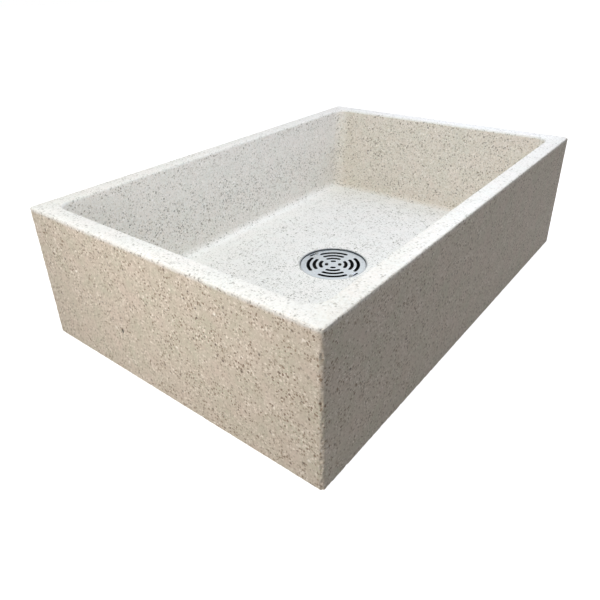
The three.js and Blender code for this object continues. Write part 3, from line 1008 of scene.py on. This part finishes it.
floor_size = 30
floor_glow = 0.94
floor_paint = linear("#bcbcbc")
floor_for_light = linear("#6e6c6a")
drain_mouth_radius = 50 * mm
drain_mouth_height = 0.1 * mm
disc_segments = 64
ambient = 0.375
sky = (0.85, 0.89, 1, 1)
lamps = [
    # name, watts, width, length, place, aimed at, colour
    ("front_lamp", 3.55, 0.6, 0.4, Vector((0, -1.1, 0.35)), Vector((0, -0.45, 0.15)),
     (1, 0.97, 0.96)),
    ("high_softbox", 13, 0.5, 0.5, Vector((0.15, -0.8, 2.2)), Vector((0, -0.2, 0)),
     (1, 0.89, 0.62)),
    ("side_strip", 2.1, 0.15, 0.8, Vector((0.2, -0.2, 0.9)), Vector((-0.3, -0.1, 0.1)),
     (0.82, 0.89, 1)),
    ("far_softbox", 1.75, 0.3, 0.3, Vector((0.12, 0.6, 0.8)), Vector((-0.1, 0.1, 0)),
     (0.76, 0.81, 1)),
    ("left_fill", 3, 0.8, 1.2, Vector((-1.6, 0, 1.2)), Vector((0, 0, 0.1)), (1, 1, 1)),
    ("back_fill", 3, 0.5, 0.5, Vector((0.05, 1.8, 1.3)), Vector((0, 0, 0.1)), (1, 1, 1)),
]

# The camera, fitted to the sink's outer corners in the photograph. Its turn is in degrees.
sensor_width = 36
focal_length = 33.313
frame_shift = (0.01137, -0.05514)
camera_place = (0.59336, -0.85265, 0.58932)
camera_turn = (61.8705, 1.5923, 38.6487)


def seen_directly(tree):
    """A value that is 1 for camera, glossy and transmission rays, and 0 for diffuse light."""
    path = add_node(tree, "ShaderNodeLightPath", {})
    seen = path.outputs["Is Camera Ray"]
    for kind in ("Is Glossy Ray", "Is Transmission Ray"):
        either = add_node(
            tree, "ShaderNodeMath", {0: seen, 1: path.outputs[kind]}, operation="MAXIMUM",
        )
        seen = either.outputs[0]
    return seen


# Studio floor: painted white. The light that it gives back to the sink is that of a greyer
# floor, and it keeps the sink's shadow.
white_floor, tree = new_material("painted_studio_floor")
glow = add_node(tree, "ShaderNodeEmission", {"Strength": floor_glow})
paint = add_node(tree, "ShaderNodeBsdfDiffuse", {"Color": floor_paint})
shown = add_node(tree, "ShaderNodeAddShader", {0: glow.outputs[0], 1: paint.outputs[0]})
bounce = add_node(tree, "ShaderNodeBsdfDiffuse", {"Color": floor_for_light})
both = add_node(
    tree, "ShaderNodeMixShader",
    {0: seen_directly(tree), 1: bounce.outputs[0], 2: shown.outputs[0]},
)
add_node(tree, "ShaderNodeOutputMaterial", {"Surface": both.outputs[0]})

# Drain mouth: a near black disc under the drain, a painted shade for the dark inside of
# the pipe that the sink stands over.
dark_pipe, tree = new_material("pipe_mouth_painted_shade")
dark = add_node(tree, "ShaderNodeBsdfDiffuse", {"Color": linear("#0c0c0d")})
add_node(tree, "ShaderNodeOutputMaterial", {"Surface": dark.outputs[0]})


def level_disc(name, radius, height, material):
    """A flat stage piece round the middle of the sink."""
    rim = []
    for i in range(disc_segments):
        angle = 2 * math.pi * i / disc_segments
        rim.append((radius * math.cos(angle), radius * math.sin(angle), height))
    mesh = bpy.data.meshes.new(name)
    mesh.from_pydata(rim, [], [tuple(range(disc_segments))])
    mesh.materials.append(material)
    disc = bpy.data.objects.new(name, mesh)
    bpy.context.scene.collection.objects.link(disc)


level_disc("studio_floor", floor_size / 2, 0, white_floor)
level_disc("pipe_mouth", drain_mouth_radius, drain_mouth_height, dark_pipe)

world = bpy.data.worlds.new("studio_air")
world.use_nodes = True
world.node_tree.nodes.clear()
tree = world.node_tree
air = add_node(tree, "ShaderNodeBackground", {"Color": sky, "Strength": ambient})
white = add_node(tree, "ShaderNodeBackground", {"Color": (1, 1, 1, 1), "Strength": 1})
both = add_node(
    tree, "ShaderNodeMixShader", {0: seen_directly(tree), 1: air.outputs[0], 2: white.outputs[0]},
)
add_node(tree, "ShaderNodeOutputWorld", {"Surface": both.outputs[0]})
bpy.context.scene.world = world

for name, watts, width, length, place, target, colour in lamps:
    lamp = bpy.data.lights.new(name, "AREA")
    lamp.energy = watts
    lamp.color = colour
    lamp.shape = "RECTANGLE"
    lamp.size = width
    lamp.size_y = length
    holder = bpy.data.objects.new(name, lamp)
    holder.location = place
    holder.rotation_euler = (place - target).to_track_quat("Z", "Y").to_euler()
    holder.visible_camera = False
    bpy.context.scene.collection.objects.link(holder)

lens = bpy.data.cameras.new("camera")
lens.sensor_width = sensor_width
lens.lens = focal_length
lens.shift_x, lens.shift_y = frame_shift
camera = bpy.data.objects.new("camera", lens)
camera.location = camera_place
camera.rotation_euler = [math.radians(angle) for angle in camera_turn]
bpy.context.scene.collection.objects.link(camera)
bpy.context.scene.camera = camera
bpy.context.scene.view_settings.view_transform = "Standard"
